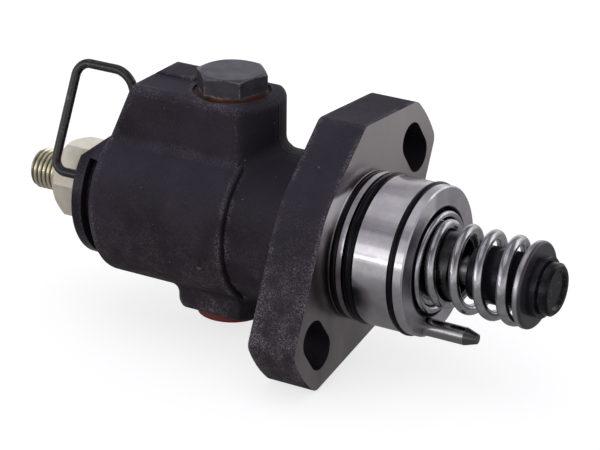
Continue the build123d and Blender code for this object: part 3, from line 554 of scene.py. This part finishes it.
GROUND_STEEL = ((0.42, 0.41, 0.42), (0.58, 0.57, 0.58))
PLUNGER_STEEL_PAINTED_SHADE = ((0.12, 0.115, 0.12), (0.20, 0.195, 0.20))
SPRING_STEEL = ((0.36, 0.355, 0.37), (0.58, 0.57, 0.60))
SLEEVE_STEEL = ((0.035, 0.034, 0.036), (0.075, 0.073, 0.076))
PIN_STEEL = ((0.26, 0.25, 0.255), (0.42, 0.41, 0.415))
PIN_TIP = (0.10, 0.10, 0.105)

PLATE_STEEL = ((0.045, 0.042, 0.046), (0.085, 0.080, 0.085))
PLATE_RIM = (0.46, 0.45, 0.46)
FOOT_OXIDE = ((0.004, 0.004, 0.005), (0.009, 0.0085, 0.011))
FOOT_HUB = (0.020, 0.019, 0.026)
FOOT_GLINT_AND_EDGE = (0.40, 0.40, 0.42)
BOLT_SIDE = ((0.034, 0.030, 0.036), (0.060, 0.054, 0.064))
BOLT_TOP_PAINTED_LIGHT = ((0.062, 0.058, 0.076), (0.108, 0.102, 0.132))
BOLT_EDGE = (0.24, 0.22, 0.225)
CLIP_BLACK = ((0.011, 0.0095, 0.010), (0.024, 0.021, 0.022))
CLIP_SCUFF = (0.17, 0.155, 0.16)

ZINC = ((0.79, 0.73, 0.60), (0.95, 0.89, 0.74))
ZINC_EDGE = (0.85, 0.82, 0.78)
THREAD_YELLOW = (0.78, 0.74, 0.56)
THREAD_ROOT_PAINTED_SHADE = (0.075, 0.066, 0.035)
COPPER = ((0.30, 0.13, 0.09), (0.52, 0.28, 0.21))
RED_PLASTIC = ((0.16, 0.022, 0.02), (0.22, 0.035, 0.03))
RUBBER = ((0.0014, 0.0011, 0.0022), (0.0036, 0.0030, 0.0052))

FLOOR = (0.45, 0.45, 0.45)
FLOOR_MIRRORED = (0.14, 0.14, 0.14)
SKY = (0.58, 0.56, 0.60)
SKY_AT_HORIZON = (0.95, 0.94, 0.97)
SKY_ABOVE = (0.26, 0.25, 0.28)


# ------------------------------------------------------------------ finish of the casting
def slot_walls(look):
    """1 inside the two slots of the flange."""
    turn = math.radians(SLOT_DIRECTION)
    outwards = look.y * math.cos(turn) + look.z * math.sin(turn)
    across = look.z * math.cos(turn) - look.y * math.sin(turn)
    off_centre = (outwards.size() - SLOT_CENTRE_RADIUS).size()
    in_width = off_centre.steps(SLOT_WIDTH / 2 + 0.6, SLOT_WIDTH / 2 + 0.2)
    in_length = across.size().steps(SLOT_LENGTH / 2 + 0.5, SLOT_LENGTH / 2 + 0.1)
    return in_width * in_length * look.x.steps(-0.05, -0.2)


def casting_zones(look):
    """What the finishes of the casting share: masks from 0 to 1, and noises."""
    radius = look.off_axis()
    east, _, upward = look.facing()
    # ground: the flange face and everything turned in front of it, but not the bores
    front = look.x.steps(-0.30, -0.12)
    bored = radius.steps(RECESS_RADIUS + 0.6, RECESS_RADIUS + 0.2)
    edgeways = radius.steps(PILOT_RADIUS + 0.6, PILOT_RADIUS + 1.2) * east.steps(0.9, 0.5)
    ground = front * (1 - bored * 0.75) * (1 - edgeways)
    face = ground * look.x.steps(0.3, 0.1)
    # the turned end behind the body's barrel carries a smoother, glossier coat
    turned_end = look.x.steps(BODY_END + 0.3, BODY_END - 0.3)
    # painted shade: faces turned to the flange, and the neck's top, are darkened
    behind = look.x.steps(FLANGE_BACK - 0.2, FLANGE_BACK - 0.8)
    neck = look.x.steps(*NECK_LENGTHWISE) * look.z.steps(*NECK_TOP)
    # left of the pilot the flange face carries a painted reflection of the pilot: a bright band, and a
    # dark band below it
    haze = look.noise(6.0, 3, 0.6)
    beside = radius.steps(*AROUND_PILOT) * look.y.steps(*LEFT_OF_PILOT)
    height = look.z + (haze - 0.5) * 3.0
    return types.SimpleNamespace(
        radius=radius,
        upward=upward,
        ground=ground,
        recess=bored * front,
        face=face,
        end_face=east.steps(0.9, 0.99) * (1 - face),
        turned_end=turned_end,
        cast=(1 - ground) * (1 - turned_end * 0.8),
        low=look.z.steps(*COAT_LOW),
        clean=1 - slot_walls(look),
        shade=1 - east.steps(0.35, 0.8).most(neck) * behind * 0.8,
        # the next two masks are the painted reflection of the pilot on the flange face: bright above, dark
        # below
        rubbed=beside * height.band(*FACE_BRIGHT_REFLECTION_HEIGHTS),
        dark_reflection=beside * height.band(*FACE_DARK_REFLECTION_HEIGHTS),
        grain=look.noise(0.8, 4, 0.75),
        haze=haze,
    )


def coat_dust(look, zones):
    """Pale dust in the grain: on rubbed edges, low down and round the rim of the flange."""
    patch = look.noise(8.0, 4, 0.65)
    worn = look.edge(3.0).steps(0.002, 0.03) * patch.steps(0.36, 0.56)
    flange = look.x.steps(FLANGE_BACK - 0.6, FLANGE_BACK + 0.2) * look.z.steps(*FLANGE_DUST)
    dusty = patch.steps(0.40, 0.60) * (zones.low * 0.92 + 0.08) + flange * patch.steps(0.28, 0.52) * 0.6
    specks = look.noise(0.38, 2, 0.9).steps(0.49, 0.58)
    return specks * (worn + dusty * 0.70) * zones.clean * zones.shade


def coat_colour(look, zones):
    """The black coat, with dust in it and a few bright nicks."""
    broad = look.noise(22.0, 3, 0.55)
    far_side = look.x.steps(*COAT_FAR_END).most(look.y.steps(*COAT_FAR_SIDE) * 0.6)
    nicks = look.noise(1.5, 2, 0.6).steps(0.72, 0.76)
    coat = look.blend(broad.steps(0.35, 0.65), *COAT)
    coat = look.blend(zones.grain.steps(0.42, 0.70) * 0.55, coat, COAT_GRAIN)
    # painted light: faces turned upwards are lighter and bluer, as if lit from above
    coat = look.blend(zones.upward.steps(0.1, 0.95) * 0.65, coat, COAT_TOP_PAINTED_LIGHT)
    coat = look.blend(zones.low * 0.45, coat, COAT_BELOW)
    # painted shade on the far side, at the far end, on faces turned to the flange and on the neck's top
    coat = look.blend((far_side * 0.6).most((1 - zones.shade) * 0.7), coat, COAT_SHADED)
    # painted shade inside the slots of the flange
    coat = look.blend((1 - zones.clean) * 0.7, coat, COAT_SLOT_PAINTED_SHADE)
    coat = look.blend(coat_dust(look, zones) * zones.cast * 0.85, coat, DUST)
    return look.blend(nicks * zones.cast * zones.clean * 0.45, coat, NICK)


def face_colour(look, zones):
    """The matt flange face, paler towards the top by painted light, with a painted reflection of the pilot
    beside it: a bright band over a dark one.
    """
    smear = look.noise(12.0, 3, 0.55, look.stretched(1, 1, 0.35))
    matt = look.blend(smear.steps(0.25, 0.75), *FACE_STEEL)
    # painted light: the face is paler towards the top
    matt = look.blend(look.z.steps(*FACE_PALER) * 0.7, matt, FACE_TOP_PAINTED_LIGHT)
    # painted reflection of the pilot: a dark band, and a bright band above it
    matt = look.blend(zones.dark_reflection * 0.55, matt, FACE_DARK_REFLECTION)
    return look.blend(zones.rubbed, matt, FACE_BRIGHT_REFLECTION)


def ground_colour(look, zones):
    """Ground steel, with painted shade in the recess and on part of the end face, and a painted glint on
    the upper left of the pilot's chamfer.
    """
    chamfer = PILOT_END - PILOT_CHAMFER
    stain = look.noise(5.0, 4, 0.7).steps(0.58, 0.75) * look.x.steps(chamfer + 0.1, chamfer - 0.2)
    shaded = zones.end_face * look.y.steps(*END_SHADE_SIDE) * look.z.band(*END_SHADE_HEIGHT)
    glint = look.x.steps(chamfer, chamfer + 0.05) * look.y.steps(*GLINT_SIDE) * look.z.steps(*GLINT_HEIGHT)
    steel = look.blend(zones.haze.steps(0.3, 0.75), *PILOT_STEEL)
    steel = look.blend(zones.face, steel, face_colour(look, zones))
    steel = look.blend(stain * 0.10, steel, PILOT_STAIN)
    # painted shade in the recess
    steel = look.blend(zones.recess, steel, RECESS_PAINTED_SHADE)
    steel = look.blend(shaded * 0.6, steel, PILOT_SHADED)
    return look.blend(glint, steel, PILOT_GLINT)


def cast_body():
    """Black coated casting, ground bright on the flange face and the pilot."""
    look = Look("black coated casting, ground pilot")
    zones = casting_zones(look)
    colour = look.blend(zones.ground, coat_colour(look, zones), ground_colour(look, zones))
    under = look.z.steps(*UNDERSIDE) * (1 - zones.face)
    polish = zones.haze * 0.07 + zones.face * 0.14 + 0.12 + zones.end_face * 0.16 + under * 0.14
    satin = 0.64 - zones.turned_end * 0.38 + (zones.grain - 0.5) * 0.25
    rough = zones.ground * polish + (1 - zones.ground) * satin
    # less metal in the painted bright reflection on the face
    face_bright_reflection = zones.rubbed * zones.face
    metal = zones.ground * (1 - face_bright_reflection * 0.75) * (1 - zones.upward.steps(0.35, 0.9) * 0.55)
    lumps = look.noise(4.5, 3, 0.5)
    mould_seam = look.y.size().steps(0.50, 0.12) * look.x.band(*MOULD_SEAM)
    grinding = look.noise(0.30, 2, 0.6, look.stretched(1, 0.05, 0.05))
    look.bump((zones.grain * 0.7 + lumps * 0.7) * zones.cast, 0.30, 0.9)
    look.bump(mould_seam * zones.cast, 0.30, 1.0)
    look.bump(grinding * zones.ground, 0.010, 0.35)
    return look.finish(colour, rough, metal, specular=0.18)


# ------------------------------------------------------------------ finishes of the other pieces
def turned_steel(name, shades, rough, streak=(1, 0.08, 0.08), stains=0.2):
    """Turned, ground or drawn steel with faint streaks, haze and a few stains."""
    look = Look(name)
    darkened = tuple(0.3 * part for part in shades[0])
    streaks = look.noise(0.28, 2, 0.6, look.stretched(*streak))
    haze = look.noise(3.5, 3, 0.6)
    marks = look.noise(1.6, 4, 0.7).steps(0.60, 0.72)
    colour = look.blend(haze.steps(0.3, 0.75), *shades)
    colour = look.blend(marks * stains, colour, darkened)
    look.bump(streaks, 0.006, 0.5)
    return look.finish(colour, haze * 0.14 + marks * 0.08 + (rough - 0.07), 1.0)


def plain_finish(name, shades, rough, metal=0.0, grain=1.0, relief=0.03):
    """Soft metal or plastic with fine grain."""
    look = Look(name)
    fine = look.noise(grain, 3, 0.6)
    broad = look.noise(grain * 9, 3, 0.6)
    look.bump(fine, relief, 0.6)
    return look.finish(look.blend(broad.steps(0.3, 0.7), *shades), fine * 0.14 + (rough - 0.07), metal)


def rubber():
    """Oiled black rubber."""
    look = Look("oiled black rubber")
    film = look.noise(3.0, 3, 0.6)
    look.bump(look.noise(0.4, 2), 0.01, 0.5)
    return look.finish(look.blend(film, *RUBBER), film * 0.05 + 0.06, specular=0.15)


def black_oxide():
    """Glossy black oxide with painted glints in the dish of the foot."""
    look = Look("glossy black oxide")
    film = look.noise(2.2, 3, 0.6)
    dish = look.x.steps(FOOT_END - 2, FOOT_END - 1) * look.off_axis().steps(DISH_RADIUS + 1, DISH_RADIUS)
    specks = look.noise(0.7, 2, 0.7, look.stretched(1, 0.6, 1)).steps(0.66, 0.73)
    rim = look.edge(0.5).steps(0.03, 0.2) * film.steps(0.44, 0.64)
    hub = look.x.steps(FOOT_END - 1.1, FOOT_END - 1.4)
    colour = look.blend(film, *FOOT_OXIDE)
    colour = look.blend(hub * 0.6, colour, FOOT_HUB)
    # painted glints in the dish of the foot; the same pale colour lightens its edges
    colour = look.blend((specks * dish * 0.6).most(rim * 0.22), colour, FOOT_GLINT_AND_EDGE)
    look.bump(look.noise(0.5, 3, 0.6), 0.02, 0.5)
    return look.finish(colour, film * 0.14 + 0.12, specular=0.16)


def spring_plate_steel():
    """Dark face and a bright, rubbed rim."""
    look = Look("dark plate with bright rim")
    haze = look.noise(3.0, 3, 0.6)
    unrubbed = look.noise(1.2, 4, 0.7).steps(0.58, 0.70)
    rim = look.off_axis().steps(PLATE_RADIUS - 0.9, PLATE_RADIUS - 0.4)
    rim = rim * look.x.steps(PLATE_FACE - 0.4, PLATE_FACE - 1.0) * (1 - unrubbed * 0.6)
    colour = look.blend(rim, look.blend(haze, *PLATE_STEEL), PLATE_RIM)
    look.bump(look.noise(0.3, 2, 0.6, look.stretched(1, 0.08, 0.08)), 0.008, 0.5)
    return look.finish(colour, haze * 0.12 + 0.22, rim * 0.5 + 0.5)


def bolt_steel():
    """Blackened bolt with rubbed edges and a top made paler by painted light."""
    look = Look("blackened bolt steel")
    upward = look.facing()[2]
    fine = look.noise(0.8, 3, 0.6)
    shade = look.noise(6.0, 3, 0.6).steps(0.3, 0.7)
    rim = look.edge(0.9).steps(0.01, 0.09) * look.noise(1.2, 3, 0.7).steps(0.38, 0.58)
    side, top = look.blend(shade, *BOLT_SIDE), look.blend(shade, *BOLT_TOP_PAINTED_LIGHT)
    # painted light: the top is paler than the sides
    colour = look.blend(upward.steps(0.3, 0.75), side, top)
    colour = look.blend(rim * 0.8, colour, BOLT_EDGE)
    look.bump(fine, 0.03, 0.6)
    return look.finish(colour, fine * 0.14 + 0.33, 0.45)


def clip_wire():
    """Black wire, scratched bright along its length."""
    look = Look("black wire")
    fine = look.noise(0.8, 3, 0.6)
    scuffs = look.noise(1.0, 3, 0.7, look.stretched(0.5, 1, 0.35)).steps(0.58, 0.70)
    colour = look.blend(look.noise(7.0, 3, 0.6).steps(0.3, 0.7), *CLIP_BLACK)
    colour = look.blend(scuffs * 0.7, colour, CLIP_SCUFF)
    look.bump(fine, 0.02, 0.6)
    return look.finish(colour, fine * 0.12 + 0.16, scuffs * 0.5)


def guide_pin_steel():
    """Ground pin with a blackened tip, whose edge wanders a little."""
    look = Look("ground pin with black tip")
    haze = look.noise(3.0, 3, 0.6)
    taper_start = PIN_END - PIN_TAPER
    tip = (look.x + (haze - 0.5) * 0.4).steps(taper_start - 0.2, taper_start + 0.2)
    colour = look.blend(tip, look.blend(haze, *PIN_STEEL), PIN_TIP)
    look.bump(look.noise(0.3, 2, 0.6, look.stretched(1, 0.1, 0.1)), 0.006, 0.5)
    return look.finish(colour, tip * 0.04 + haze * 0.12 + 0.12, 1.0 - tip * 0.3)


def zinc_plating():
    """Zinc plating, yellower on the thread and with painted shade in its roots."""
    look = Look("zinc plating")
    fine = look.noise(0.9, 3, 0.6)
    broad = look.noise(6.0, 3, 0.6)
    rim = look.edge(0.5).steps(0.02, 0.14) * fine.steps(0.25, 0.6)
    thread = look.x.steps(THREAD_START + 0.7, THREAD_START + 0.2)
    root = look.off_axis().steps(THREAD_ROOT + 0.65, THREAD_ROOT + 0.15) * thread
    colour = look.blend(broad.steps(0.3, 0.7), *ZINC)
    colour = look.blend(rim, colour, ZINC_EDGE)
    colour = look.blend(thread * 0.8, colour, THREAD_YELLOW)
    # painted shade in the roots of the thread
    colour = look.blend(root * 0.85, colour, THREAD_ROOT_PAINTED_SHADE)
    look.bump(fine, 0.012, 0.6)
    return look.finish(colour, fine * 0.12 + 0.24 - thread * 0.06, 0.45 + thread * 0.45 - root * 0.5)


# ------------------------------------------------------------------ floor, light and camera
FLOOR_HEIGHT = -34.2
FLOOR_SIZE = 6000
LIGHT_POOL_CENTRE = (-60, -300)   # X and Y
LIGHT_POOL_RIM = (250, 130)
FAR_FLOOR = (110, 480)      # from the origin
PUMP_MIDDLE = (-30, 0, 0)
PUMP_FRONT = (-10, 0, 0)
CAMERA_PLACE = (319.894, -580.955, 286.948)
CAMERA_TURN = (67.0068, -0.489, 30.6333)    # degrees
CAMERA_LENS = 157.83
CAMERA_SENSOR = 36.0


def floor():
    """Pale floor, white to the camera. Metal mirrors painted light on it far out and in a pool before the
    pump, and painted shadow near the pump.
    """
    bpy.ops.mesh.primitive_plane_add(size=FLOOR_SIZE * MM, location=(0, 0, FLOOR_HEIGHT * MM))
    plane = bpy.context.object
    plane.name = "pale_floor"
    look = Look("pale floor")
    ray = look.add("ShaderNodeLightPath").outputs
    seen, glossy = (Value(look, ray[name]) for name in ("Is Camera Ray", "Is Glossy Ray"))
    pool = (look.x - LIGHT_POOL_CENTRE[0]).hypot(look.y - LIGHT_POOL_CENTRE[1]).steps(*LIGHT_POOL_RIM)
    far = look.x.hypot(look.y).steps(*FAR_FLOOR)
    # to glossy rays: painted light far out and in a pool before the pump, painted shadow near the pump
    level = seen.most(glossy * (far.most(pool) * 0.50 + 0.25)) * 0.72
    look.feed(look.shader.inputs["Emission Color"], look.blend(level, BLACK, WHITE))
    look.feed(look.shader.inputs["Emission Strength"], 1.0)
    dress(look.finish(look.blend(glossy, FLOOR, FLOOR_MIRRORED), 0.9), plane)


def surroundings():
    """White to the camera. Metal mirrors it white near the horizon and grey above."""
    world = bpy.data.worlds.new("white studio")
    bpy.context.scene.world = world
    world.use_nodes = True
    sky = Nodes(world.node_tree)
    ray = sky.add("ShaderNodeLightPath").outputs
    height = sky.split(sky.add("ShaderNodeTexCoord").outputs["Generated"])[2]
    mirrored = sky.blend(height.steps(0.10, 0.62), SKY_AT_HORIZON, SKY_ABOVE)
    shown = sky.blend(ray["Is Glossy Ray"], SKY, mirrored)
    shown = sky.blend(ray["Is Transmission Ray"], shown, mirrored)
    shown = sky.blend(ray["Is Camera Ray"], shown, WHITE)
    light = sky.add("ShaderNodeBackground", {"Color": shown, "Strength": 1.0})
    sky.add("ShaderNodeOutputWorld", {"Surface": light.outputs[0]})


def softbox(name, place, aim, width, height, radiance):
    """A soft rectangular lamp, as bright to the eye as radiance says, where 1 is white."""
    bpy.ops.object.light_add(type="AREA", location=[v * MM for v in place])
    lamp = bpy.context.object
    lamp.name = name
    lamp.data.shape = "RECTANGLE"
    lamp.data.size = width * MM
    lamp.data.size_y = height * MM
    lamp.data.energy = radiance * math.pi * width * height * MM * MM
    direction = Vector([v * MM for v in aim]) - lamp.location
    lamp.rotation_euler = direction.to_track_quat("-Z", "Y").to_euler()


def place_camera():
    """A long lens, above the pump and in front of it on the side of the foot."""
    bpy.ops.object.camera_add(location=[v * MM for v in CAMERA_PLACE])
    camera = bpy.context.object
    camera.name = "camera"
    camera.rotation_euler = [math.radians(v) for v in CAMERA_TURN]
    camera.data.lens = CAMERA_LENS
    camera.data.sensor_width = CAMERA_SENSOR
    camera.data.clip_start = 10 * MM
    camera.data.clip_end = 50.0
    bpy.context.scene.camera = camera


# ------------------------------------------------------------------ the scene
plunger_coil = moving_spring(
    "plunger_spring", "plunger_coil_spring",
    heavier_wire,
)
valve_coil = moving_spring(
    "delivery_valve_spring", "delivery_valve_coil_spring",
)
holder = threaded_holder()
ledge = casting_ledge()
rim = rolled_rim()

dress(cast_body(), "housing", ledge)
dress(rubber(), "flange_o_ring", "middle_o_ring", "front_o_ring", "barrel_o_ring", "valve_holder_o_ring")
dress(
    turned_steel("ground steel", GROUND_STEEL, 0.25),
    "barrel", "barrel_locating_pin", "upper_spring_seat", "delivery_valve_body", "delivery_valve",
)
# painted shade: the plunger's steel is darkened because it lies in shade inside the spring
dress(turned_steel("oiled plunger steel", PLUNGER_STEEL_PAINTED_SHADE, 0.22), "plunger")
dress(
    turned_steel("spring steel", SPRING_STEEL, 0.15, streak=(0.4, 1, 1), stains=0.6),
    plunger_coil, valve_coil, rim,
)
dress(turned_steel("sleeve steel", SLEEVE_STEEL, 0.26), "control_sleeve", "control_arm")
dress(spring_plate_steel(), "spring_plate")
dress(black_oxide(), "plunger_foot")
dress(guide_pin_steel(), "guide_pin")
dress(bolt_steel(), "top_plug_bolt")
dress(zinc_plating(), holder)
dress(plain_finish("soft copper", COPPER, 0.30, 0.85, 0.8, 0.015), "top_washer", "delivery_valve_gasket")
dress(plain_finish("red polyethylene", RED_PLASTIC, 0.5), "bottom_port_cap")
dress(clip_wire(), "wire_clip")

floor()
surroundings()
softbox("overhead softbox", (-120, -60, 800), PUMP_MIDDLE, 1000, 700, 0.45)
softbox("front softbox", (-420, -760, 420), PUMP_MIDDLE, 900, 500, 0.40)
softbox("back softbox", (355, 645, 335), PUMP_MIDDLE, 500, 380, 0.85)
softbox("strip glow", (-330, -640, 215), PUMP_FRONT, 420, 170, 0.60)
softbox("low strip", (-330, -640, 75), PUMP_FRONT, 420, 30, 4.2)
place_camera()
bpy.context.scene.view_settings.view_transform = "Standard"
